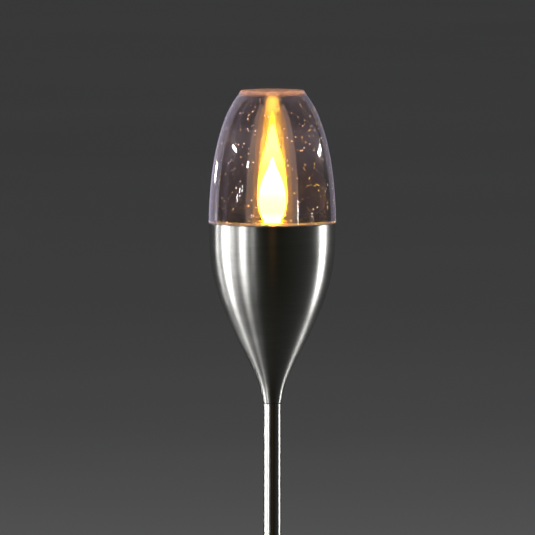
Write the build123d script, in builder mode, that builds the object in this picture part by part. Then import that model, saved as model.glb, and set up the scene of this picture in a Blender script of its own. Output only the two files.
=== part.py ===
from build123d import *
import os

os.makedirs("parts", exist_ok=True)

# Garden torch with an electric flame: a tulip-shaped steel cup and a clear dome on a thin
# push-together pole with a ground spike. Z is the torch's axis, z = 0 the tip of the spike.
# All sizes in millimetres.

# ---- driving dimensions --------------------------------------------------------------------
pole_r = 6.0
pole_wall = 0.8
pole_length = 240.0
spike_height = 150.0
joint_z = spike_height + pole_length            # where the two pole tubes meet
neck_z = joint_z + pole_length                  # neck of the cup
cup_height = 120.0
rim_z = neck_z + cup_height                     # top edge of the steel cup
cup_r = 42.2
cup_wall = 0.8
gasket_t = 0.8
dome_z = rim_z + gasket_t
dome_r = 42.6
dome_top_z = rim_z + 88.7
dome_top_r = 21.6
dome_foot_wall = 5.3                            # the moulding is thick at its foot
dome_top_wall = 2.7                             # and thin at its flat top
dome_bore_r = dome_r - dome_foot_wall
running_gap = 0.05                              # radial gap of the push fits
bore_r = pole_r - pole_wall
plug_length = 28.0

# the light unit that hangs in the cup
flange_r = 40.4
can_r = 31.0
can_wall = 2.0
can_floor_z = rim_z - 42.0
plate_t = 3.0
plate_z = rim_z - plate_t                       # underside of the top plate
deck_r = 34.9
foot_r = 11.0                                   # flange at the foot of the flame
flame_foot_r = 6.3
flame_r = 10.1                                  # flame at its widest
flame_wall = 0.6
flame_tip_z = rim_z + 74.0
cover_top_z = rim_z + 2.3
boss_circle_r = 25.4
boss_start = 90.0                               # angle of the first of three screw bosses

# battery
cell_r = 7.25
cell_length = 49.3
cell_y = 3.0
cell_z = can_floor_z + 11.0

# switch
switch_y = -17.0
slot_length = 8.6
slot_width = 3.8


def cup_outline(inset):
    """Outer profile of the cup from its neck to its rim, moved inwards by inset."""
    shape = ((pole_r, 0.0), (8.7, 0.094), (14.3, 0.205), (24.7, 0.377), (34.7, 0.567),
             (40.2, 0.735), (cup_r - 0.2, 0.88), (cup_r, 1.0))
    return [(r - inset, neck_z + h * cup_height) for r, h in shape]


def dome_outside():
    """Outer profile of the dome from its foot to the shoulder under its flat top."""
    shape = ((dome_r, 0.0), (dome_r - 0.3, 10.6), (40.3, 33.9), (36.6, 53.6), (31.8, 69.0),
             (29.0, 75.3), (25.5, 81.4), (dome_top_r + 1.5, 84.6))
    return [(r, dome_z + h) for r, h in shape]


def dome_inside():
    """Inner profile of the dome: the wall grows thinner upwards and leans in more steeply."""
    shape = ((dome_bore_r, 0.0), (36.65, 10.0), (35.05, 30.0), (32.9, 50.0), (30.85, 62.0),
             (28.0, 71.0), (25.9, 76.0), (23.9, 80.0), (22.1, 83.2))
    return [(r, dome_z + h) for r, h in shape]


def flame_outline(inset):
    """Profile of the flame from its foot upwards, moved inwards by inset."""
    shape = ((flame_foot_r, 0.0), (8.6, 4.6), (flame_r, 12.5), (9.5, 26.0), (7.4, 39.0),
             (5.1, 46.5), (3.0, 57.5))
    return [(r - inset, cover_top_z + h) for r, h in shape]


# ---- ground spike --------------------------------------------------------------------------
blade_t = 3.0
with BuildPart() as ground_stake:
    with BuildSketch(Plane.XZ):
        with BuildLine():
            Polyline((-1.0, 0), (1.0, 0), (8.0, spike_height - 25), (8.0, spike_height - 5),
                     (-8.0, spike_height - 5), (-8.0, spike_height - 25), (-1.0, 0))
        make_face()
    extrude(amount=blade_t / 2, both=True)
    with BuildSketch(Plane.YZ):
        with BuildLine():
            Polyline((-1.0, 0), (1.0, 0), (8.0, spike_height - 25), (8.0, spike_height - 5),
                     (-8.0, spike_height - 5), (-8.0, spike_height - 25), (-1.0, 0))
        make_face()
    extrude(amount=blade_t / 2, both=True)
    with BuildSketch(Plane.XY.offset(spike_height - 5)):
        Circle(9.0)
    extrude(amount=3.5)
    with BuildSketch(Plane.XY.offset(spike_height - 1.5)):
        Circle(9.0)
    extrude(amount=1.5, taper=45)
    with BuildSketch(Plane.XY.offset(spike_height)):
        Circle(bore_r - running_gap)
    extrude(amount=plug_length)
    chamfer(ground_stake.faces().sort_by(Axis.Z)[-1].edges(), 0.8)
ground_stake.part.label = "ground_stake"
export_step(ground_stake.part, "parts/ground_stake.step")

# ---- the two pole tubes and the sleeve that joins them ---------------------------------------
with BuildPart() as pole_lower:
    with BuildSketch(Plane.XY.offset(spike_height)):
        Circle(pole_r)
        Circle(bore_r, mode=Mode.SUBTRACT)
    extrude(amount=pole_length)
pole_lower.part.label = "pole_lower"
export_step(pole_lower.part, "parts/pole_lower.step")

collar_t = 0.6                                  # dark ring between the neck and the tube
with BuildPart() as pole_upper:
    with BuildSketch(Plane.XY.offset(joint_z)):
        Circle(pole_r)
        Circle(bore_r, mode=Mode.SUBTRACT)
    extrude(amount=pole_length - collar_t)
pole_upper.part.label = "pole_upper"
export_step(pole_upper.part, "parts/pole_upper.step")

with BuildPart() as pole_coupler:
    with BuildSketch(Plane.XY.offset(joint_z - plug_length)):
        Circle(bore_r)
        Circle(bore_r - 1.0, mode=Mode.SUBTRACT)
    extrude(amount=plug_length)
    with BuildSketch(Plane.XY.offset(joint_z)):
        Circle(bore_r - running_gap)
        Circle(bore_r - 1.0, mode=Mode.SUBTRACT)
    extrude(amount=plug_length)
pole_coupler.part.label = "pole_coupler"
export_step(pole_coupler.part, "parts/pole_coupler.step")

# ---- steel cup -------------------------------------------------------------------------------
with BuildPart() as steel_cup:
    with BuildSketch(Plane.XZ):
        with BuildLine():
            outer = Spline(*cup_outline(0), tangents=((0.06, 1), (0, 1)))
            inner = Spline(*cup_outline(cup_wall), tangents=((0.06, 1), (0, 1)))
            Line(outer @ 0, inner @ 0)
            Line(outer @ 1, inner @ 1)
        make_face()
    revolve(axis=Axis.Z)
steel_cup.part.label = "steel_cup"
export_step(steel_cup.part, "parts/steel_cup.step")

# plastic plug in the neck: its lower end goes into the pole, its collar is the dark joint ring
screw_r = 1.9
with BuildPart() as neck_socket:
    with BuildSketch(Plane.XZ):
        with BuildLine():
            plug_low_z = neck_z - plug_length
            plug_r = bore_r - running_gap
            collar_r = pole_r - 0.25
            hub_r = bore_r - 0.1
            Polyline((screw_r + 0.1, plug_low_z), (plug_r - 0.8, plug_low_z), (plug_r, plug_low_z + 0.8),
                     (plug_r, neck_z - collar_t), (collar_r, neck_z - collar_t), (collar_r, neck_z),
                     (hub_r, neck_z), (hub_r, neck_z + 13), (screw_r + 0.1, neck_z + 13),
                     (screw_r + 0.1, plug_low_z))
        make_face()
    revolve(axis=Axis.Z)
neck_socket.part.label = "neck_socket"
export_step(neck_socket.part, "parts/neck_socket.step")

# turned cone that clamps the cup onto that plug
bung_z = neck_z + 13.0
with BuildPart() as neck_bung:
    with BuildSketch(Plane.XZ):
        with BuildLine():
            Polyline((screw_r + 0.2, bung_z), (7.4, bung_z), (9.4, bung_z + 5),
                     (screw_r + 0.2, bung_z + 5), (screw_r + 0.2, bung_z))
        make_face()
    revolve(axis=Axis.Z)
neck_bung.part.label = "neck_bung"
export_step(neck_bung.part, "parts/neck_bung.step")

with BuildPart() as neck_screw:
    with BuildSketch(Plane.XY.offset(bung_z - 26)):
        Circle(screw_r)
    extrude(amount=31)
    with BuildSketch(Plane.XY.offset(bung_z + 5)):
        Circle(3.8)
    extrude(amount=2.4)
    with BuildSketch(Plane.XY.offset(bung_z + 7.4)):
        Rectangle(4.4, 0.9)
        Rectangle(0.9, 4.4)
    extrude(amount=-1.4, mode=Mode.SUBTRACT)
neck_screw.part.label = "neck_screw"
export_step(neck_screw.part, "parts/neck_screw.step")

# ---- housing of the light unit ---------------------------------------------------------------
led_window_r = 7.0
board_standoffs = ((-14.0, -6.0), (14.0, -6.0))
board_z = plate_z - 9.0                         # underside of the driver board
deck_hole_y = 18.0                              # where the leads of the solar deck pass
board_t = 1.6
with BuildPart() as housing:
    with BuildSketch(Plane.XY.offset(can_floor_z)):
        Circle(can_r)
        Circle(can_r - can_wall, mode=Mode.SUBTRACT)
    extrude(amount=plate_z - can_floor_z)
    with BuildSketch(Plane.XY.offset(plate_z)):
        Circle(flange_r)
        Circle(led_window_r, mode=Mode.SUBTRACT)
    extrude(amount=plate_t)
    with BuildSketch(Plane.XY.offset(can_floor_z)):
        with PolarLocations(boss_circle_r, 3, start_angle=boss_start):
            Circle(3.9)
    extrude(amount=plate_z - can_floor_z)
    with BuildSketch(Plane.XY.offset(board_z + board_t)):
        with Locations(*board_standoffs):
            Circle(2.6)
    extrude(until=Until.NEXT)
    with BuildSketch(Plane.XY.offset(can_floor_z)):
        with PolarLocations(boss_circle_r, 3, start_angle=boss_start):
            Circle(1.3)
    extrude(amount=14, mode=Mode.SUBTRACT)
    with BuildSketch(Plane.XY.offset(board_z + board_t)):
        with Locations(*board_standoffs):
            Circle(1.1)
    extrude(amount=6, mode=Mode.SUBTRACT)
    # hole for the leads of the solar deck
    with BuildSketch(Plane.XY.offset(plate_z)):
        with Locations((0, deck_hole_y)):
            Circle(2.2)
    extrude(amount=plate_t, mode=Mode.SUBTRACT)
housing.part.label = "housing"
export_step(housing.part, "parts/housing.step")

# clear silicone gasket: lies on the rim of the cup and centres the dome with its low lip
lip_r = dome_bore_r - 0.3
with BuildPart() as dome_gasket:
    with BuildSketch(Plane.XY.offset(rim_z)):
        Circle(cup_r + 0.1)
        Circle(deck_r + 0.3, mode=Mode.SUBTRACT)
    extrude(amount=gasket_t)
    with BuildSketch(Plane.XY.offset(dome_z)):
        Circle(lip_r)
        Circle(lip_r - 1.0, mode=Mode.SUBTRACT)
    extrude(amount=1.2)
dome_gasket.part.label = "dome_gasket"
export_step(dome_gasket.part, "parts/dome_gasket.step")

# ---- clear dome ------------------------------------------------------------------------------
with BuildPart() as dome:
    with BuildSketch(Plane.XZ):
        with BuildLine():
            shell = Spline(*dome_outside(), tangents=((0, 1), (-0.75, 1)))
            edge = Line(shell @ 1, (dome_top_r, dome_top_z - 0.8))
            bevel = Line(edge @ 1, (dome_top_r - 0.9, dome_top_z))
            top = Line(bevel @ 1, (0, dome_top_z))
            hollow = Spline(*dome_inside(), tangents=((-0.06, 1), (-0.57, 1)))
            ceiling_z = dome_top_z - dome_top_wall
            shoulder = Line(hollow @ 1, (dome_top_r - 1.2, ceiling_z))
            ceiling = Line(shoulder @ 1, (0, ceiling_z))
            Line(ceiling @ 1, top @ 1)
            Line(shell @ 0, hollow @ 0)
        make_face()
    revolve(axis=Axis.Z)
dome.part.label = "dome"
export_step(dome.part, "parts/dome.step")

# ---- solar deck under the dome ---------------------------------------------------------------
cell_layer_z = rim_z + 1.0
with BuildPart() as deck_plate:
    with BuildSketch(Plane.XY.offset(rim_z)):
        Circle(deck_r)
        Circle(foot_r + 0.3, mode=Mode.SUBTRACT)
        with Locations((0, deck_hole_y)):
            Circle(1.8, mode=Mode.SUBTRACT)
    extrude(amount=cell_layer_z - rim_z)
deck_plate.part.label = "deck_plate"
export_step(deck_plate.part, "parts/deck_plate.step")

cell_count = 8
cell_t = 0.25
with BuildPart() as solar_cells:
    with BuildSketch(Plane.XY.offset(cell_layer_z)):
        with PolarLocations(23.3, cell_count, start_angle=180 / cell_count):
            Trapezoid(23.2, 18.4, 90 - 180 / cell_count, rotation=90)
    extrude(amount=cell_t)
solar_cells.part.label = "solar_cells"
export_step(solar_cells.part, "parts/solar_cells.step")

with BuildPart() as deck_cover:
    with BuildSketch(Plane.XY.offset(cell_layer_z + cell_t)):
        Circle(deck_r)
        Circle(flame_r + 0.2, mode=Mode.SUBTRACT)
    extrude(amount=cover_top_z - cell_layer_z - cell_t)
    chamfer(deck_cover.faces().sort_by(Axis.Z)[-1].edges(), 0.2)
deck_cover.part.label = "deck_cover"
export_step(deck_cover.part, "parts/deck_cover.step")

# ---- flame -----------------------------------------------------------------------------------
# hollow drop on a flange: the deck cover holds the flange down, and its upper step lies flush
core_disc_r = 8.0
core_disc_top_z = rim_z + 1.2
with BuildPart() as flame_diffuser:
    with BuildSketch(Plane.XZ):
        with BuildLine():
            skin = Spline(*flame_outline(0), (2.1, flame_tip_z - 7.7), (0.7, flame_tip_z),
                          tangents=((0.6, 1), (-0.2, 1)))
            bore_top_z = flame_tip_z - 9
            Polyline(skin @ 1, (0, flame_tip_z), (0, bore_top_z), (1.1, bore_top_z))
            bore = Spline(*flame_outline(flame_wall), (1.1, bore_top_z),
                          tangents=((0.6, 1), (-0.25, 1)))
            Polyline(bore @ 0, (flame_foot_r - flame_wall, core_disc_top_z + 0.1),
                     (core_disc_r + 0.4, core_disc_top_z + 0.1), (core_disc_r + 0.4, rim_z),
                     (foot_r, rim_z), (foot_r, cell_layer_z), (flame_r, cell_layer_z),
                     (flame_r, cover_top_z), skin @ 0)
        make_face()
    revolve(axis=Axis.Z)
flame_diffuser.part.label = "flame_diffuser"
export_step(flame_diffuser.part, "parts/flame_diffuser.step")

# white-hot drop inside the flame, on a thin disc that carries it
core_tip_z = cover_top_z + 40.2
with BuildPart() as flame_core:
    with BuildSketch(Plane.XZ):
        with BuildLine():
            shape = ((5.4, 0.0), (7.8, 4.6), (9.2, 11.0), (8.4, 19.5), (6.3, 26.5), (3.0, 33.2))
            body = Spline(*[(r, cover_top_z + h) for r, h in shape], (0.6, core_tip_z),
                          tangents=((0.6, 1), (-0.3, 1)))
            Polyline(body @ 1, (0, core_tip_z), (0, rim_z + 0.2), (core_disc_r, rim_z + 0.2),
                     (core_disc_r, core_disc_top_z), (5.4, core_disc_top_z), body @ 0)
        make_face()
    revolve(axis=Axis.Z)
flame_core.part.label = "flame_core"
export_step(flame_core.part, "parts/flame_core.step")

led_board_t = 1.6
with BuildPart() as led_board:
    with BuildSketch(Plane.XY.offset(plate_z - led_board_t)):
        Circle(9.5)
    extrude(amount=led_board_t)
led_board.part.label = "led_board"
export_step(led_board.part, "parts/led_board.step")

with BuildPart() as flame_leds:
    with BuildSketch(Plane.XY.offset(plate_z)):
        with PolarLocations(3.6, 3):
            Rectangle(2.8, 3.5)
    extrude(amount=0.8)
flame_leds.part.label = "flame_leds"
export_step(flame_leds.part, "parts/flame_leds.step")

# ---- driver board ----------------------------------------------------------------------------
with BuildPart() as circuit_board:
    with BuildSketch(Plane.XY.offset(board_z)):
        with Locations((0, -3)):
            RectangleRounded(34, 22, 2)
        with Locations(*board_standoffs):
            Circle(1.3, mode=Mode.SUBTRACT)
    extrude(amount=board_t)
circuit_board.part.label = "circuit_board"
export_step(circuit_board.part, "parts/circuit_board.step")

with BuildPart() as board_screws:
    for x, y in board_standoffs:
        with BuildSketch(Plane.XY.offset(board_z)):
            with Locations((x, y)):
                Circle(1.05)
        extrude(amount=6.5)
        with BuildSketch(Plane.XY.offset(board_z - 1.5)):
            with Locations((x, y)):
                Circle(2.1)
        extrude(amount=1.5)
board_screws.part.label = "board_screws"
export_step(board_screws.part, "parts/board_screws.step")

chip_z = board_z + board_t
with BuildPart() as controller_chip:
    with BuildSketch(Plane.XY.offset(chip_z + 0.2)):
        Rectangle(5, 4)
    extrude(amount=1.5)
    with BuildSketch(Plane.XY.offset(chip_z)):
        with GridLocations(1.27, 5.2, 4, 2):
            Rectangle(0.4, 1.6)
    extrude(amount=0.5)
controller_chip.part.label = "controller_chip"
export_step(controller_chip.part, "parts/controller_chip.step")

with BuildPart() as capacitor:
    with BuildSketch(Plane.XY.offset(board_z - 6.0)):
        with Locations((-7, -9)):
            Circle(2.5)
    extrude(amount=6.0)
    chamfer(capacitor.faces().sort_by(Axis.Z)[0].edges(), 0.3)
capacitor.part.label = "capacitor"
export_step(capacitor.part, "parts/capacitor.step")

with BuildPart() as boost_coil:
    with BuildSketch(Plane.XY.offset(board_z - 4.0)):
        with Locations((6, -9.5)):
            Circle(2.9)
    extrude(amount=4.0)
    with BuildSketch(Plane.XY.offset(board_z - 3.2)):
        with Locations((6, -9.5)):
            Circle(3.0)
            Circle(2.2, mode=Mode.SUBTRACT)
    extrude(amount=2.4, mode=Mode.SUBTRACT)
boost_coil.part.label = "boost_coil"
export_step(boost_coil.part, "parts/boost_coil.step")

# ---- battery, its cradle and contacts --------------------------------------------------------
half_length = cell_length / 2
end_gap_spring = 2.1
end_gap_plate = 1.4
with BuildPart() as battery:
    with BuildSketch(Plane.YZ.offset(-half_length)):
        with Locations((cell_y, cell_z)):
            Circle(cell_r)
    extrude(amount=cell_length)
    chamfer(battery.faces().sort_by(Axis.X)[-1].edges(), 0.6)
    with BuildSketch(Plane.YZ.offset(half_length)):
        with Locations((cell_y, cell_z)):
            Circle(2.75)
    extrude(amount=1.0)
battery.part.label = "battery"
export_step(battery.part, "parts/battery.step")

cradle_low_x = -half_length - end_gap_spring
cradle_high_x = half_length + end_gap_plate
end_wall = 1.0
with BuildPart() as battery_cradle:
    with BuildSketch(Plane.XY.offset(can_floor_z)):
        with Locations((0, cell_y)):
            Rectangle(48, 17)
    extrude(amount=9)
    with BuildSketch(Plane.YZ.offset(-30)):
        with Locations((cell_y, cell_z)):
            Circle(cell_r + 0.1)
    extrude(amount=60, mode=Mode.SUBTRACT)
    for x in (cradle_low_x - end_wall, cradle_high_x):
        with BuildSketch(Plane.XY.offset(can_floor_z)):
            with Locations((x + end_wall / 2, cell_y)):
                Rectangle(end_wall, 9)
        extrude(amount=15)
    with BuildSketch(Plane.XY.offset(can_floor_z)):
        with Locations(((cradle_low_x + cradle_high_x) / 2, cell_y)):
            Rectangle(cradle_high_x - cradle_low_x, 11)
    extrude(amount=1.2)
battery_cradle.part.label = "battery_cradle"
export_step(battery_cradle.part, "parts/battery_cradle.step")

with BuildPart() as contact_plate:
    with BuildSketch(Plane.YZ.offset(cradle_high_x - 0.4)):
        with Locations((cell_y, cell_z)):
            Rectangle(7, 8)
    extrude(amount=0.4)
contact_plate.part.label = "contact_plate"
export_step(contact_plate.part, "parts/contact_plate.step")

# conical contact spring, three turns that touch at their edges
spring_wire_r = 0.35
with BuildPart() as contact_spring:
    for turn, turn_r in enumerate((3.6, 3.15, 2.7)):
        with BuildSketch(Plane.XZ.offset(-cell_y)):
            with Locations((cradle_low_x + spring_wire_r + 0.6 * turn, cell_z + turn_r)):
                Circle(spring_wire_r)
        revolve(axis=Axis((0, cell_y, cell_z), (1, 0, 0)))
contact_spring.part.label = "contact_spring"
export_step(contact_spring.part, "parts/contact_spring.step")

# ---- base cover with its screws --------------------------------------------------------------
cover_t = 2.4
base_z = can_floor_z - cover_t
with BuildPart() as base_cover:
    with BuildSketch(Plane.XY.offset(base_z)):
        Circle(can_r)
        with PolarLocations(boss_circle_r, 3, start_angle=boss_start):
            Circle(1.6, mode=Mode.SUBTRACT)
        with Locations((0, switch_y)):
            Rectangle(slot_length, slot_width, mode=Mode.SUBTRACT)
    extrude(amount=cover_t)
    chamfer(base_cover.faces().sort_by(Axis.Z)[0].outer_wire().edges(), 0.8)
base_cover.part.label = "base_cover"
export_step(base_cover.part, "parts/base_cover.step")

with BuildPart() as cover_screws:
    with BuildSketch(Plane.XY.offset(base_z)):
        with PolarLocations(boss_circle_r, 3, start_angle=boss_start):
            Circle(1.2)
    extrude(amount=12)
    with BuildSketch(Plane.XY.offset(base_z - 1.8)):
        with PolarLocations(boss_circle_r, 3, start_angle=boss_start):
            Circle(2.8)
    extrude(amount=1.8)
    with BuildSketch(Plane.XY.offset(base_z - 1.8)):
        with PolarLocations(boss_circle_r, 3, start_angle=boss_start):
            Rectangle(3.2, 0.7)
            Rectangle(0.7, 3.2)
    extrude(amount=1.0, mode=Mode.SUBTRACT)
cover_screws.part.label = "cover_screws"
export_step(cover_screws.part, "parts/cover_screws.step")

# ---- slide switch ----------------------------------------------------------------------------
with BuildPart() as switch_body:
    with BuildSketch(Plane.XY.offset(can_floor_z)):
        with Locations((0, switch_y)):
            Rectangle(14, 7)
    extrude(amount=5)
    with BuildSketch(Plane.XY.offset(can_floor_z)):
        with Locations((0, switch_y)):
            Rectangle(slot_length, slot_width)
    extrude(amount=3.4, mode=Mode.SUBTRACT)
switch_body.part.label = "switch_body"
export_step(switch_body.part, "parts/switch_body.step")

slider_travel = 2.0
with BuildPart() as switch_slider:
    with BuildSketch(Plane.XY.offset(base_z - 1.4)):
        with Locations((-slider_travel / 2, switch_y)):
            Rectangle(slot_length - 2 * slider_travel + 0.4, slot_width - 0.8)
    extrude(amount=cover_t + 1.4 + 3.0)
    chamfer(switch_slider.faces().sort_by(Axis.Z)[0].edges(), 0.3)
switch_slider.part.label = "switch_slider"
export_step(switch_slider.part, "parts/switch_slider.step")

# ---- leads inside the housing ----------------------------------------------------------------
lead_r = 0.6
lead_start_z = can_floor_z + 15.8
lead_bend_z = board_z - 4
lead_ends = {"lead_black": (cradle_low_x - 0.3, -16.0), "lead_red": (cradle_high_x + 0.3, 16.0)}
for lead_name, (start_x, end_x) in lead_ends.items():
    with BuildPart() as lead:
        with BuildLine():
            route = FilletPolyline((start_x, cell_y, lead_start_z), (start_x, cell_y, lead_bend_z),
                                   (end_x, cell_y, lead_bend_z), (end_x, cell_y, board_z), radius=1.8)
        with BuildSketch(Plane(origin=route @ 0, z_dir=route % 0)):
            Circle(lead_r)
        sweep()
    lead.part.label = lead_name
    export_step(lead.part, "parts/" + lead_name + ".step")

# pair of leads from the solar deck down to the driver board
deck_lead_z = board_z + board_t + 2.5
with BuildPart() as deck_leads:
    for x in (-0.8, 0.8):
        with BuildLine(mode=Mode.PRIVATE) as run:
            FilletPolyline((x, deck_hole_y, rim_z + 0.8), (x, deck_hole_y, deck_lead_z),
                           (x, 6.6, deck_lead_z), (x, 6.6, board_z + board_t), radius=1.4)
        with BuildSketch(Plane(origin=run.line @ 0, z_dir=run.line % 0)):
            Circle(0.5)
        sweep(path=run.line)
deck_leads.part.label = "deck_leads"
export_step(deck_leads.part, "parts/deck_leads.step")
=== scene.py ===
import math

import bpy
import numpy as np
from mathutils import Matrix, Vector


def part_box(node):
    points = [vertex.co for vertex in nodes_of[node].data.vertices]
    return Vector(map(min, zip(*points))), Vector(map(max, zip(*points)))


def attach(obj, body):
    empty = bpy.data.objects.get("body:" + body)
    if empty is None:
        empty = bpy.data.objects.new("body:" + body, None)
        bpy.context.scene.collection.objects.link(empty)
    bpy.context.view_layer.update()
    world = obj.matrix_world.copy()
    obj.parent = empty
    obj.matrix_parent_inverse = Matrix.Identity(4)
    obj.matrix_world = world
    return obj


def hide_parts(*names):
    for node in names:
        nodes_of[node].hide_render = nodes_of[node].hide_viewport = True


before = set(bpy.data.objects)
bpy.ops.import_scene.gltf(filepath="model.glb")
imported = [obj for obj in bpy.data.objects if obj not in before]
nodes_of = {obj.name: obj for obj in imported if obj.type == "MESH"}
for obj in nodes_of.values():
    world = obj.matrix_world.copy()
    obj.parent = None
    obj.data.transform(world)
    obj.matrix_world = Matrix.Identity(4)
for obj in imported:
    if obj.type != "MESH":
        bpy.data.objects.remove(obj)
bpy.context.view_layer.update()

scene = bpy.context.scene
scene.view_settings.view_transform = "Standard"
MM = 0.001

# ---- places taken from the frame -------------------------------------------------------------
rim_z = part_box("steel_cup")[1].z / MM
neck_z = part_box("steel_cup")[0].z / MM
cup_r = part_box("steel_cup")[1].x / MM
dome_foot_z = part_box("dome")[0].z / MM
dome_top_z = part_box("dome")[1].z / MM
dome_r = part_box("dome")[1].x / MM
flame_tip_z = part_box("flame_diffuser")[1].z / MM
core_tip_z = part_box("flame_core")[1].z / MM
deck_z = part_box("deck_cover")[1].z / MM
pole_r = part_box("pole_upper")[1].x / MM

# ---- camera ----------------------------------------------------------------------------------
CAMERA_DISTANCE = 6.0
CAMERA_ELEVATION = math.radians(4.0)
VIEW_WIDTH = 0.357                    # metres across the view at the torch's axis
AIM_BELOW_RIM = 0.0297
AIM_LEFT_OF_AXIS = 0.0032
SENSOR_WIDTH = 36.0

aim = Vector((-AIM_LEFT_OF_AXIS, 0, rim_z * MM - AIM_BELOW_RIM))
back = Vector((0, -math.cos(CAMERA_ELEVATION), math.sin(CAMERA_ELEVATION)))
camera_data = bpy.data.cameras.new("camera")
camera_data.sensor_width = SENSOR_WIDTH
camera_data.lens = SENSOR_WIDTH * CAMERA_DISTANCE / VIEW_WIDTH
camera_data.clip_start = 0.1
camera_data.clip_end = 200
camera = bpy.data.objects.new("camera", camera_data)
scene.collection.objects.link(camera)
camera.location = aim + back * CAMERA_DISTANCE
camera.rotation_mode = "QUATERNION"
camera.rotation_quaternion = (-back).to_track_quat("-Z", "Y")
scene.camera = camera


# ---- node helpers ----------------------------------------------------------------------------
def new_material(name):
    material = bpy.data.materials.new(name)
    material.use_nodes = True
    tree = material.node_tree
    shader = tree.nodes["Principled BSDF"]
    return material, tree, shader


def node(tree, kind, values=(), **settings):
    """A new node with its settings, and its input sockets set from values."""
    made = tree.nodes.new(kind)
    for key, value in settings.items():
        setattr(made, key, value)
    for key, value in dict(values).items():
        if isinstance(value, bpy.types.NodeSocket):
            tree.links.new(value, made.inputs[key])
        else:
            made.inputs[key].default_value = value
    return made


def math_node(tree, operation, a, b=0.0):
    return node(tree, "ShaderNodeMath", {0: a, 1: b}, operation=operation).outputs[0]


def ramp(tree, factor, stops):
    """Colour ramp with (position, colour) stops."""
    made = node(tree, "ShaderNodeValToRGB", {0: factor})
    elements = made.color_ramp.elements
    while len(elements) < len(stops):
        elements.new(0.5)
    for element, (position, colour) in zip(elements, stops):
        element.position = position
        element.color = (*colour, 1) if len(colour) == 3 else colour
    return made.outputs[0]


def grey(value):
    return (value, value, value)


def object_space(tree):
    return node(tree, "ShaderNodeTexCoord").outputs["Object"]


def noise(tree, vector, scale, detail=4.0, rough=0.55):
    return node(tree, "ShaderNodeTexNoise", {"Vector": vector, "Scale": scale, "Detail": detail,
                                             "Roughness": rough}).outputs["Fac"]


def around_axis(tree, turns, height):
    """Coordinates that run round the torch's axis and along it, for marks that follow the turning."""
    split = node(tree, "ShaderNodeSeparateXYZ", {0: object_space(tree)})
    x, y, z = split.outputs
    angle = math_node(tree, "ARCTAN2", y, x)
    joined = node(tree, "ShaderNodeCombineXYZ", {
        0: math_node(tree, "MULTIPLY", math_node(tree, "COSINE", angle), turns),
        1: math_node(tree, "MULTIPLY", math_node(tree, "SINE", angle), turns),
        2: math_node(tree, "MULTIPLY", z, height)})
    return joined.outputs[0]


def bump(tree, shader, height, strength, distance):
    made = node(tree, "ShaderNodeBump", {"Height": height, "Strength": strength, "Distance": distance})
    tree.links.new(made.outputs[0], shader.inputs["Normal"])


# ---- materials -------------------------------------------------------------------------------
HAIR_LINES = 2600.0                   # fine brush marks per metre along the axis
BRUSH_STROKES = 260.0                 # broad ones


def brushed_steel(name, colour, roughness, anisotropy, streak=1.0):
    """Stainless steel brushed round the axis: hair lines run round it, so highlights run along it."""
    material, tree, shader = new_material(name)
    shader.inputs["Metallic"].default_value = 1.0
    shader.inputs["Anisotropic"].default_value = anisotropy
    shader.inputs["Anisotropic Rotation"].default_value = 0.25
    tangent = node(tree, "ShaderNodeTangent", direction_type="RADIAL", axis="Z")
    tree.links.new(tangent.outputs[0], shader.inputs["Tangent"])
    fine = noise(tree, around_axis(tree, 1.6, HAIR_LINES), 1.0, 3.0, 0.7)
    broad = noise(tree, around_axis(tree, 1.2, BRUSH_STROKES), 1.0, 4.0, 0.6)
    smudge = noise(tree, object_space(tree), 38.0, 3.0)
    mixed = math_node(tree, "ADD", math_node(tree, "MULTIPLY", fine, 0.6),
                      math_node(tree, "MULTIPLY", broad, 0.4))
    dark = tuple(c * (1 - 0.14 * streak) for c in colour)
    light = tuple(min(1.0, c * (1 + 0.08 * streak)) for c in colour)
    tree.links.new(ramp(tree, mixed, [(0.32, dark), (0.68, light)]), shader.inputs["Base Color"])
    rough = node(tree, "ShaderNodeMapRange", {0: smudge, 1: 0.3, 2: 0.7, 3: roughness - 0.04 * streak,
                                              4: roughness + 0.05 * streak})
    tree.links.new(rough.outputs[0], shader.inputs["Roughness"])
    bump(tree, shader, mixed, 0.10 * streak, 0.00003)
    return material


def plastic(name, colour, roughness, grain=1800.0, depth=0.00004, spread=0.25):
    """Moulded plastic with a fine grain and slightly uneven gloss."""
    material, tree, shader = new_material(name)
    space = object_space(tree)
    cloud = noise(tree, space, 60.0)
    fine = noise(tree, space, grain, 2.0)
    dark = tuple(c * (1 - spread) for c in colour)
    light = tuple(min(1.0, c * (1 + spread)) for c in colour)
    tree.links.new(ramp(tree, cloud, [(0.3, dark), (0.7, light)]), shader.inputs["Base Color"])
    rough = node(tree, "ShaderNodeMapRange", {0: cloud, 1: 0.3, 2: 0.7, 3: roughness - 0.06,
                                              4: roughness + 0.06})
    tree.links.new(rough.outputs[0], shader.inputs["Roughness"])
    bump(tree, shader, fine, 0.25, depth)
    return material


def bright_metal(name, colour, roughness):
    """Plated or drawn metal with faint clouds in its colour and gloss."""
    material, tree, shader = new_material(name)
    shader.inputs["Metallic"].default_value = 1.0
    cloud = noise(tree, object_space(tree), 300.0)
    dark = tuple(c * 0.82 for c in colour)
    tree.links.new(ramp(tree, cloud, [(0.3, dark), (0.7, colour)]), shader.inputs["Base Color"])
    rough = node(tree, "ShaderNodeMapRange", {0: cloud, 1: 0.3, 2: 0.7, 3: roughness - 0.05,
                                              4: roughness + 0.08})
    tree.links.new(rough.outputs[0], shader.inputs["Roughness"])
    return material


CLEAR_IOR = 1.49
BLUR_ROUGHNESS = 0.14
SCUFF_SHARE = 0.20
SPECK_COVER = 0.85
SPECKS = ((800.0, 0.40), (380.0, 0.18))     # cells per metre, and a speck's radius in cells
DUST_COLOUR = (0.95, 0.88, 0.92)


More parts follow.
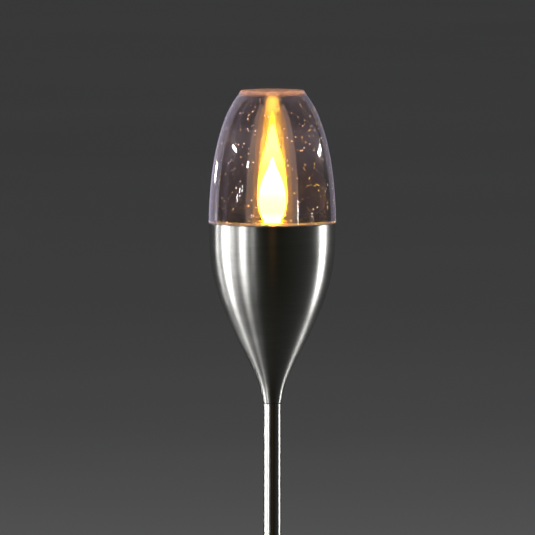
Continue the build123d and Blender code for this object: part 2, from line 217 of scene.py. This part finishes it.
def clear_plastic(name, tint, haze_low, haze_high, dust, blur=0.0, roughness=0.0,
                  film_colour=(0.92, 0.86, 0.93), scuffs=()):
    """Clear moulded plastic with a thin film of haze and specks of dust. Blur is the share of it that
    scatters what is seen through it. Scuffs are (plain, scuffed) heights between which the film thickens."""
    material, tree, shader = new_material(name)
    shader.inputs["Transmission Weight"].default_value = 1.0
    shader.inputs["IOR"].default_value = CLEAR_IOR
    space = object_space(tree)
    cloud = noise(tree, space, 45.0, 5.0, 0.6)
    paler = tuple(min(1.0, c * 1.03) for c in tint)
    clean = ramp(tree, cloud, [(0.3, tint), (0.7, paler)])
    tree.links.new(clean, shader.inputs["Base Color"])
    shader.inputs["Roughness"].default_value = roughness
    soft = node(tree, "ShaderNodeBsdfGlass", {"Color": clean, "Roughness": BLUR_ROUGHNESS,
                                              "IOR": CLEAR_IOR})
    veiled = node(tree, "ShaderNodeMixShader", {0: blur, 1: shader.outputs[0], 2: soft.outputs[0]})
    film = node(tree, "ShaderNodeMapRange", {0: cloud, 1: 0.35, 2: 0.75, 3: haze_low,
                                             4: haze_high}).outputs[0]
    z = node(tree, "ShaderNodeSeparateXYZ", {0: space}).outputs[2]
    for plain_z, scuffed_z in scuffs:
        edge = node(tree, "ShaderNodeMapRange", {0: z, 1: plain_z * MM, 2: scuffed_z * MM, 3: 0.0,
                                                 4: SCUFF_SHARE})
        film = math_node(tree, "ADD", film, edge.outputs[0])
    specks = 0.0
    for scale, size in SPECKS:
        cell = node(tree, "ShaderNodeTexVoronoi", {"Vector": space, "Scale": scale})
        near = math_node(tree, "LESS_THAN", cell.outputs["Distance"], size)
        lot = node(tree, "ShaderNodeSeparateColor", {0: cell.outputs["Color"]}).outputs[0]
        picked = math_node(tree, "GREATER_THAN", lot, 1.0 - dust)
        speck = math_node(tree, "MULTIPLY", math_node(tree, "MULTIPLY", near, picked), SPECK_COVER)
        specks = math_node(tree, "MAXIMUM", specks, speck)
    total = math_node(tree, "MAXIMUM", film, specks)
    colour = node(tree, "ShaderNodeMix", {0: specks, 6: (*film_colour, 1), 7: (*DUST_COLOUR, 1)},
                  data_type="RGBA").outputs[2]
    dull = node(tree, "ShaderNodeBsdfDiffuse", {"Color": colour})
    lit_through = node(tree, "ShaderNodeBsdfTranslucent", {"Color": colour})
    dusty = node(tree, "ShaderNodeMixShader", {0: 0.5, 1: dull.outputs[0], 2: lit_through.outputs[0]})
    mixed = node(tree, "ShaderNodeMixShader", {0: total, 1: veiled.outputs[0], 2: dusty.outputs[0]})
    tree.links.new(mixed.outputs[0], tree.nodes["Material Output"].inputs[0])
    return material


def glowing(name, stops, low_z, high_z, strength, alpha=1.0, wave=0.10):
    """Lit plastic: colour by height, slightly uneven, given off as light."""
    material, tree, shader = new_material(name)
    space = object_space(tree)
    split = node(tree, "ShaderNodeSeparateXYZ", {0: space})
    height = node(tree, "ShaderNodeMapRange", {0: split.outputs[2], 1: low_z * MM, 2: high_z * MM})
    uneven = math_node(tree, "MULTIPLY", math_node(tree, "SUBTRACT", noise(tree, space, 90.0), 0.5), wave)
    colour = ramp(tree, math_node(tree, "ADD", height.outputs[0], uneven), stops)
    tree.links.new(colour, shader.inputs["Base Color"])
    tree.links.new(colour, shader.inputs["Emission Color"])
    shader.inputs["Emission Strength"].default_value = strength
    shader.inputs["Roughness"].default_value = 0.35
    shader.inputs["Alpha"].default_value = alpha
    return material


CELL_COUNT = 8
FINGERS = 620.0                       # silver fingers per metre of radius


def solar_cell(name):
    """Dark blue silicon with silver fingers and two wider bars in each cell."""
    material, tree, shader = new_material(name)
    space = object_space(tree)
    crystal = node(tree, "ShaderNodeTexVoronoi", {"Vector": space, "Scale": 420.0})
    silicon = ramp(tree, node(tree, "ShaderNodeSeparateColor", {0: crystal.outputs["Color"]}).outputs[0],
                   [(0.0, (0.008, 0.012, 0.045)), (1.0, (0.020, 0.030, 0.095))])
    split = node(tree, "ShaderNodeSeparateXYZ", {0: space})
    x, y = split.outputs[0], split.outputs[1]
    angle = math_node(tree, "ARCTAN2", y, x)
    radius = math_node(tree, "SQRT", math_node(tree, "ADD", math_node(tree, "MULTIPLY", x, x),
                                               math_node(tree, "MULTIPLY", y, y)))
    finger = math_node(tree, "LESS_THAN", math_node(
        tree, "FRACT", math_node(tree, "MULTIPLY", radius, FINGERS)), 0.09)
    turned = math_node(tree, "MULTIPLY", angle, CELL_COUNT / math.pi)
    bar = math_node(tree, "LESS_THAN", math_node(
        tree, "FRACT", math_node(tree, "ADD", turned, 0.04)), 0.07)
    lines = math_node(tree, "MAXIMUM", finger, bar)
    colour = node(tree, "ShaderNodeMix", {0: lines, 6: silicon, 7: (0.55, 0.56, 0.58, 1)}, data_type="RGBA")
    tree.links.new(colour.outputs[2], shader.inputs["Base Color"])
    shader.inputs["Roughness"].default_value = 0.25
    return material


def wrapped_battery(name, low_x, high_x):
    """Battery sleeve with a coloured band and bare metal ends."""
    material, tree, shader = new_material(name)
    split = node(tree, "ShaderNodeSeparateXYZ", {0: object_space(tree)})
    along = node(tree, "ShaderNodeMapRange", {0: split.outputs[0], 1: low_x, 2: high_x}).outputs[0]
    stops = [(0.0, grey(0.6)), (0.02, (0.02, 0.12, 0.05)), (0.72, (0.02, 0.12, 0.05)),
             (0.73, grey(0.75)), (0.955, grey(0.75)), (0.965, grey(0.6))]
    colour = ramp(tree, along, stops)
    colour.node.color_ramp.interpolation = "CONSTANT"
    tree.links.new(colour, shader.inputs["Base Color"])
    rough = node(tree, "ShaderNodeMapRange", {0: noise(tree, object_space(tree), 200.0), 3: 0.2, 4: 0.4})
    tree.links.new(rough.outputs[0], shader.inputs["Roughness"])
    return material


steel = brushed_steel("brushed_stainless", (0.66, 0.655, 0.63), 0.34, 0.88)
tube_steel = brushed_steel("brushed_tube", (0.68, 0.68, 0.66), 0.30, 0.88, 0.2)
dome_clear = clear_plastic("clear_dome", (0.91, 0.81, 0.84), 0.0, 0.0003, 0.014, 0.10,
                           film_colour=(1.0, 0.80, 0.70),
                           scuffs=((dome_top_z - 2.0, dome_top_z), (dome_foot_z + 1.5, dome_foot_z)))
seal_clear = clear_plastic("clear_seal", (0.90, 0.90, 0.92), 0.25, 0.35, 0.0, 0.3, 0.25)
cover_clear = clear_plastic("deck_gloss", (0.62, 0.58, 0.55), 0.002, 0.01, 0.01)
black = plastic("black_plastic", grey(0.022), 0.45)
white = plastic("white_plastic", (0.70, 0.70, 0.67), 0.4)
cells = solar_cell("cell_blue")
board = plastic("board_green", (0.03, 0.16, 0.06), 0.35)
chip = plastic("chip_black", grey(0.03), 0.4, 3000.0)
phosphor = glowing("led_yellow", [(0.0, (1.0, 0.75, 0.2)), (1.0, (1.0, 0.8, 0.3))],
                   rim_z - 3, rim_z - 2, 4.0)
copper = bright_metal("coil_copper", (0.80, 0.38, 0.18), 0.35)
can = bright_metal("can_aluminium", (0.80, 0.80, 0.81), 0.3)
zinc = bright_metal("zinc_steel", (0.70, 0.71, 0.72), 0.28)
red_wire = plastic("wire_red", (0.50, 0.03, 0.02), 0.4)
black_wire = plastic("wire_black", grey(0.03), 0.4)
cell_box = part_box("battery")
sleeve = wrapped_battery("battery_wrap", cell_box[0].x, cell_box[1].x)

flame_skin = glowing("flame_skin", [(0.0, (1.0, 0.50, 0.0)), (0.5, (1.0, 0.56, 0.0)),
                                    (1.0, (1.0, 0.62, 0.03))], deck_z, flame_tip_z, 2.4, 0.25)
flame_wall = glowing("flame_wall", [(0.0, (1.0, 0.60, 0.01)), (0.45, (1.0, 0.66, 0.03)),
                                    (0.66, (1.0, 0.72, 0.08)), (1.0, (1.0, 0.72, 0.06))],
                     deck_z, flame_tip_z, 20.0, 0.25)
flame_hot = glowing("flame_hot", [(0.0, (1.0, 0.78, 0.12)), (0.15, (1.0, 0.78, 0.06)),
                                  (0.35, (1.0, 0.78, 0.07)), (0.55, (1.0, 0.80, 0.12)),
                                  (1.0, (1.0, 0.80, 0.18))], deck_z, core_tip_z, 120.0)


# ---- mesh helpers ----------------------------------------------------------------------------
def smooth(points, steps):
    """Points along a smooth curve through the given ones, which keep their places."""
    p = np.array(points, float)
    padded = np.vstack([2 * p[0] - p[1], p, 2 * p[-1] - p[-2]])
    chord = np.sqrt(np.linalg.norm(np.diff(padded, axis=0), axis=1))
    knots = np.concatenate([[0], np.cumsum(chord)])
    made = []
    for i in range(1, len(padded) - 2):
        t0, t1, t2, t3 = knots[i - 1:i + 3]
        p0, p1, p2, p3 = padded[i - 1:i + 3]
        for t in np.linspace(t1, t2, steps, endpoint=False):
            a1 = (t1 - t) / (t1 - t0) * p0 + (t - t0) / (t1 - t0) * p1
            a2 = (t2 - t) / (t2 - t1) * p1 + (t - t1) / (t2 - t1) * p2
            a3 = (t3 - t) / (t3 - t2) * p2 + (t - t2) / (t3 - t2) * p3
            b1 = (t2 - t) / (t2 - t0) * a1 + (t - t0) / (t2 - t0) * a2
            b2 = (t3 - t) / (t3 - t1) * a2 + (t - t1) / (t3 - t1) * a3
            made.append(tuple((t2 - t) / (t2 - t1) * b1 + (t - t1) / (t2 - t1) * b2))
    return made + [tuple(p[-1])]


def lathe(name, outline, body, materials, closed=True, turn=192, sharp=30.0,
          second_from=None):
    """A body of revolution about the axis from an outline of (radius, height) in millimetres.
    Points on the axis become one vertex. From outline point second_from on, faces take the second
    material."""
    vertices, rows = [], []
    for radius, z in outline:
        if radius < 1e-6:
            rows.append([len(vertices)])
            vertices.append((0, 0, z * MM))
            continue
        rows.append(list(range(len(vertices), len(vertices) + turn)))
        for k in range(turn):
            a = 2 * math.pi * k / turn
            vertices.append((radius * math.cos(a) * MM, radius * math.sin(a) * MM, z * MM))
    faces, face_material = [], []
    pairs = [(i, i + 1) for i in range(len(rows) - 1)]
    if closed:
        pairs.append((len(rows) - 1, 0))
    for i, j in pairs:
        low, high = rows[i], rows[j]
        if len(low) == 1 and len(high) == 1:
            continue
        for k in range(turn):
            n = (k + 1) % turn
            if len(low) == 1:
                faces.append((low[0], high[n], high[k]))
            elif len(high) == 1:
                faces.append((low[k], low[n], high[0]))
            else:
                faces.append((low[k], low[n], high[n], high[k]))
            face_material.append(1 if second_from is not None and i >= second_from else 0)
    mesh = bpy.data.meshes.new(name)
    mesh.from_pydata(vertices, [], faces)
    mesh.validate()
    for material in materials:
        mesh.materials.append(material)
    mesh.polygons.foreach_set("material_index", face_material[:len(mesh.polygons)])
    mesh.shade_smooth()
    mesh.set_sharp_from_angle(angle=math.radians(sharp))
    piece = bpy.data.objects.new(name, mesh)
    scene.collection.objects.link(piece)
    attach(piece, body)
    return piece


def scaled(shape, low, high, inset=0.0):
    """Outline points whose heights run from 0 to 1, stretched between two heights."""
    return [(r - inset, low + h * (high - low)) for r, h in shape]


def above(shape, low, inset=0.0):
    """Outline points whose heights are in millimetres, lifted to a base height."""
    return [(r - inset, low + h) for r, h in shape]


# ---- steel cup -------------------------------------------------------------------------------
CUP_WALL = 0.8
cup_shape = ((pole_r, 0.0), (8.7, 0.094), (14.3, 0.205), (24.7, 0.377), (34.7, 0.567),
             (40.2, 0.735), (cup_r - 0.2, 0.88), (cup_r, 1.0))
outside = smooth(scaled(cup_shape, neck_z, rim_z), 14)
inside = smooth(scaled(cup_shape, neck_z, rim_z, CUP_WALL), 10)
outside[-1:] = [(cup_r, rim_z - 0.25), (cup_r - 0.08, rim_z - 0.06), (cup_r - 0.25, rim_z)]
cup = lathe("cup_shell", outside + inside[::-1], "head", [steel], turn=256)
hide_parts("steel_cup")

# ---- pole ------------------------------------------------------------------------------------
POLE_WALL = 0.8
POLE_EDGE = 0.25                      # bevel at each end of a tube
for tube, body in (("pole_lower", "lower_pole"), ("pole_upper", "upper_pole")):
    low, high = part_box(tube)[0].z / MM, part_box(tube)[1].z / MM
    levels = np.linspace(low + POLE_EDGE, high - POLE_EDGE, 24)
    outline = [(pole_r - POLE_EDGE, low)] + [(pole_r, z) for z in levels] + [(pole_r - POLE_EDGE, high)]
    outline += [(pole_r - POLE_WALL, high), (pole_r - POLE_WALL, low)]
    made = lathe(tube + "_tube", outline, body, [tube_steel], turn=96, sharp=40)
    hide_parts(tube)

# ---- dome ------------------------------------------------------------------------------------
TOP_R = 21.6
FOOT_WALL = 5.3
TOP_WALL = 2.7
dome_outside = ((dome_r, 0.0), (dome_r - 0.3, 10.6), (40.3, 33.9), (36.6, 53.6), (31.8, 69.0),
                (29.0, 75.3), (25.5, 81.4), (TOP_R + 1.5, 84.6))
dome_inside = ((dome_r - FOOT_WALL, 0.0), (36.65, 10.0), (35.05, 30.0), (32.9, 50.0), (30.85, 62.0),
               (28.0, 71.0), (25.9, 76.0), (23.9, 80.0), (22.1, 83.2))
outer = smooth(above(dome_outside, dome_foot_z), 18)
outer += [(TOP_R, dome_top_z - 0.8), (TOP_R - 0.35, dome_top_z - 0.3), (TOP_R - 0.9, dome_top_z),
          (TOP_R * 0.5, dome_top_z), (0, dome_top_z)]
ceiling_z = dome_top_z - TOP_WALL
inner = smooth(above(dome_inside, dome_foot_z), 12)
inner += [(TOP_R - 0.7, ceiling_z - 0.3), (TOP_R - 1.2, ceiling_z), (TOP_R * 0.5, ceiling_z), (0, ceiling_z)]
foot = [(dome_r - 0.4, dome_foot_z), (dome_r - 0.1, dome_foot_z + 0.1), (dome_r, dome_foot_z + 0.4)]
dome = lathe("dome_shell", foot + outer[1:] + inner[::-1], "dome", [dome_clear],
             turn=256, sharp=24)
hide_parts("dome")

# ---- flame -----------------------------------------------------------------------------------
FLAME_R = 10.1
FLAME_FOOT_R = 6.3
WALL = 0.6
DISC_R = 8.0
DISC_THICKNESS = 1.0
SOLID_TIP = 9.0                       # the flame is solid above its hollow
CORE_FOOT_R = 5.4
flame_shape = ((FLAME_FOOT_R, 0.0), (8.6, 4.6), (FLAME_R, 12.5), (9.5, 26.0), (7.4, 39.0), (5.1, 46.5),
               (3.0, 57.5))
flange_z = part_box("flame_diffuser")[0].z / MM
flange_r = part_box("flame_diffuser")[1].x / MM
disc_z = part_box("flame_core")[0].z / MM
step_z = flange_z + DISC_THICKNESS
hollow_top_z = flame_tip_z - SOLID_TIP
skin_line = smooth(above(flame_shape, deck_z) + [(2.1, flame_tip_z - 7.7), (0.9, flame_tip_z - 0.5)], 14)
skin_line += [(0.4, flame_tip_z - 0.1), (0, flame_tip_z)]
wall_line = smooth(above(flame_shape, deck_z, WALL) + [(1.1, hollow_top_z)], 14)
wall_line += [(0, hollow_top_z)]
recess = [(FLAME_FOOT_R - WALL, disc_z + 1.1), (DISC_R + 0.4, disc_z + 1.1), (DISC_R + 0.4, flange_z)]
flange = [(flange_r, flange_z), (flange_r, step_z), (FLAME_R, step_z), (FLAME_R, deck_z - 0.1),
          (FLAME_R - 0.1, deck_z)]
flame = lathe("flame_diffuser_shell", recess + flange + skin_line + wall_line[::-1], "light_unit",
              [flame_skin, flame_wall], turn=128, sharp=50,
              second_from=len(recess) + len(flange) + len(skin_line))
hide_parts("flame_diffuser")

core_shape = ((CORE_FOOT_R, 0.0), (7.8, 4.6), (9.2, 11.0), (8.4, 19.5), (6.3, 26.5), (3.0, 33.2))
core_line = smooth(above(core_shape, deck_z) + [(0.5, core_tip_z - 0.2)], 14) + [(0, core_tip_z)]
disc = [(0, disc_z), (DISC_R, disc_z), (DISC_R, disc_z + DISC_THICKNESS),
        (CORE_FOOT_R, disc_z + DISC_THICKNESS)]
core = lathe("flame_core_body", disc + core_line, "light_unit", [flame_hot], turn=96,
             sharp=50, closed=False)
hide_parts("flame_core")

# ---- finishes of the CAD nodes that stay -----------------------------------------------------
finishes = {
    black: ("ground_stake", "neck_socket", "housing", "deck_plate", "battery_cradle", "base_cover",
            "switch_slider"),
    white: ("neck_bung",), seal_clear: ("dome_gasket",), cover_clear: ("deck_cover",),
    cells: ("solar_cells",), board: ("led_board", "circuit_board"), chip: ("controller_chip",),
    phosphor: ("flame_leds",), copper: ("boost_coil",), can: ("capacitor",), sleeve: ("battery",),
    zinc: ("pole_coupler", "neck_screw", "board_screws", "contact_spring", "contact_plate",
           "cover_screws", "switch_body"),
    red_wire: ("lead_red", "deck_leads"), black_wire: ("lead_black",),
}
for material, names in finishes.items():
    for name in names:
        mesh = nodes_of[name].data
        mesh.materials.clear()
        mesh.materials.append(material)


# ---- floor, world and light ------------------------------------------------------------------
FLOOR = 40.0                          # from the torch to the floor's edge
FLOOR_Z = -0.0006
floor_mesh = bpy.data.meshes.new("floor")
floor_mesh.from_pydata([(-FLOOR, -FLOOR, FLOOR_Z), (FLOOR, -FLOOR, FLOOR_Z), (FLOOR, FLOOR, FLOOR_Z),
                        (-FLOOR, FLOOR, FLOOR_Z)], [], [(0, 1, 2, 3)])
floor = bpy.data.objects.new("floor", floor_mesh)
scene.collection.objects.link(floor)
floor_material, tree, shader = new_material("floor")
tone = noise(tree, object_space(tree), 0.6)
tree.links.new(ramp(tree, tone, [(0.3, grey(0.66)), (0.7, grey(0.72))]), shader.inputs["Base Color"])
shader.inputs["Roughness"].default_value = 0.8
floor_mesh.materials.append(floor_material)
floor.visible_glossy = False

# the studio is dark on the camera's side, and as dark as the far floor where the two meet
DARK_SIDE = (0.006, 0.0065, 0.002)
world = bpy.data.worlds.new("studio")
scene.world = world
world.use_nodes = True
tree = world.node_tree
split = node(tree, "ShaderNodeSeparateXYZ", {0: node(tree, "ShaderNodeTexCoord").outputs["Generated"]})
depth = node(tree, "ShaderNodeMapRange", {0: split.outputs[1], 1: -1.0, 2: 1.0})
high_sky = ramp(tree, depth.outputs[0], [(0.0, DARK_SIDE), (0.45, (0.040, 0.040, 0.041)),
                                         (1.0, (0.13, 0.13, 0.135))])
low_sky = ramp(tree, depth.outputs[0], [(0.0, DARK_SIDE), (0.45, (0.037, 0.037, 0.0375)),
                                        (1.0, (0.038, 0.038, 0.0385))])
lift = node(tree, "ShaderNodeMapRange", {0: split.outputs[2], 1: 0.05, 2: 0.5})
sky = node(tree, "ShaderNodeMix", {0: lift.outputs[0], 6: low_sky, 7: high_sky}, data_type="RGBA")
tree.links.new(sky.outputs[2], tree.nodes["Background"].inputs[0])


def receivers(name, state, *pieces):
    """Collection that links a lamp to the pieces named (INCLUDE), or to all but those (EXCLUDE)."""
    made = bpy.data.collections.new(name)
    for piece in pieces:
        made.objects.link(piece)
    for member in made.collection_objects:
        member.light_linking.link_state = state
    return made


all_but_dome = receivers("all_but_dome", "EXCLUDE", dome, floor)
floor_only = receivers("floor_only", "INCLUDE", floor)
dome_only = receivers("dome_only", "INCLUDE", dome)


STUDIO = 1.5                          # distance of the lamps from the torch
BOX = (0.2, 1.5)                      # lowest and highest point of the steel's soft boxes
TALL = (-1.0, 3.0)                    # strips that show from the dome's foot to its top
DUST = (0.2, 1.8)
WHITE = (1.0, 1.0, 1.0)
VIOLET = (0.82, 0.74, 1.0)
ROSE = (1.0, 0.82, 0.80)
PEACH = (1.0, 0.62, 0.45)
AMBER = (1.0, 0.45, 0.16)
DOWN = Vector((0, 0, -1))


def lamp(name, place, facing, width, height, radiance, lit, colour=WHITE, mirrored=True):
    """Rectangular lamp. Lit is the collection of what it lights; one that isn't mirrored lights only
    matt surfaces."""
    light = bpy.data.lights.new(name, "AREA")
    light.shape = "RECTANGLE"
    light.size = width
    light.size_y = height
    light.energy = radiance * math.pi * width * height
    light.color = colour
    made = bpy.data.objects.new(name, light)
    scene.collection.objects.link(made)
    made.location = place
    made.rotation_mode = "QUATERNION"
    made.rotation_quaternion = facing.to_track_quat("-Z", "Y")
    made.visible_camera = False
    made.visible_transmission = False
    made.visible_glossy = mirrored
    made.light_linking.receiver_collection = lit


def strip(name, azimuth, width, low, high, radiance, lit, colour=WHITE, mirrored=True):
    """A lamp that faces the torch. Azimuth 0 is the camera's side and 90 the view's right."""
    a = math.radians(azimuth)
    place = Vector((math.sin(a) * STUDIO, -math.cos(a) * STUDIO, (low + high) / 2))
    lamp(name, place, Vector((-place.x, -place.y, 0)), width, high - low, radiance, lit, colour, mirrored)


# soft boxes for the steel and everything else but the dome and the floor
strip("box_left_wide", -95, 0.34, *BOX, 10.0, all_but_dome)
strip("box_left_front", -56, 0.20, *BOX, 8.0, all_but_dome)
strip("box_left_back", -120, 0.05, *BOX, 10.0, all_but_dome)
strip("box_left_thin", -77, 0.05, *BOX, 7.0, all_but_dome)
strip("box_front_thin", -36, 0.05, *BOX, 3.0, all_but_dome)
strip("box_right", 106, 0.30, *BOX, 9.0, all_but_dome)

# dim strips for the dome's edges, and the warm light of the flame on both sides of it
strip("edge_left", -140, 1.4, *TALL, 1.1, dome_only, VIOLET)
strip("edge_right", 150, 1.0, *TALL, 0.5, dome_only, VIOLET)
strip("veil_left", -95, 0.30, *TALL, 0.45, dome_only, VIOLET)
strip("veil_front", -50, 0.16, *TALL, 0.30, dome_only, ROSE)
strip("veil_right", 100, 0.22, *TALL, 0.15, dome_only, VIOLET)
for side, turned in (("left", -1), ("right", 1)):
    strip("glow_" + side, turned * 29, 0.36, *TALL, 7.0, dome_only, AMBER)
    strip("haze_" + side, turned * 42, 0.34, *TALL, 3.2, dome_only, PEACH)

# small lamps that the dome mirrors as sparks
strip("spark_left", -86, 0.34, 1.19, 1.23, 130.0, dome_only)
strip("spark_right", 114, 0.34, 1.04, 1.08, 130.0, dome_only)
strip("spark_far_left", -136, 0.16, 0.80, 0.88, 50.0, dome_only)
strip("spark_front_left", -49, 0.10, 1.12, 1.19, 50.0, dome_only)
for number, (azimuth, low, tall) in enumerate(((-57, 0.89, 0.04), (-62, 0.86, 0.05), (-67, 0.83, 0.04),
                                               (47, 0.70, 0.16), (75, 0.70, 0.05))):
    strip("spark_low_%d" % number, azimuth, 0.03, low, low + tall, 60.0, dome_only)

# fill that only the dome's dust takes
strip("dust_left", -70, 0.8, *DUST, 10.0, dome_only, VIOLET, mirrored=False)
strip("dust_right", 60, 0.8, *DUST, 8.0, dome_only, ROSE, mirrored=False)

# the flame's glow on the steel and on the dome's shoulder, and the light from above
strip("glow_steel", 0, 0.30, 0.70, 0.80, 0.5, all_but_dome, AMBER)
lamp("glow_top", Vector((0, -0.2, 2.4)), DOWN, 1.1, 2.2, 4.0, dome_only, AMBER)
lamp("floor_light", Vector((0, 0, 3.5)), DOWN, 4.0, 4.0, 1.6, floor_only)
lamp("box_top", Vector((0, 0.6, 2.6)), DOWN, 2.0, 2.0, 1.0, all_but_dome)
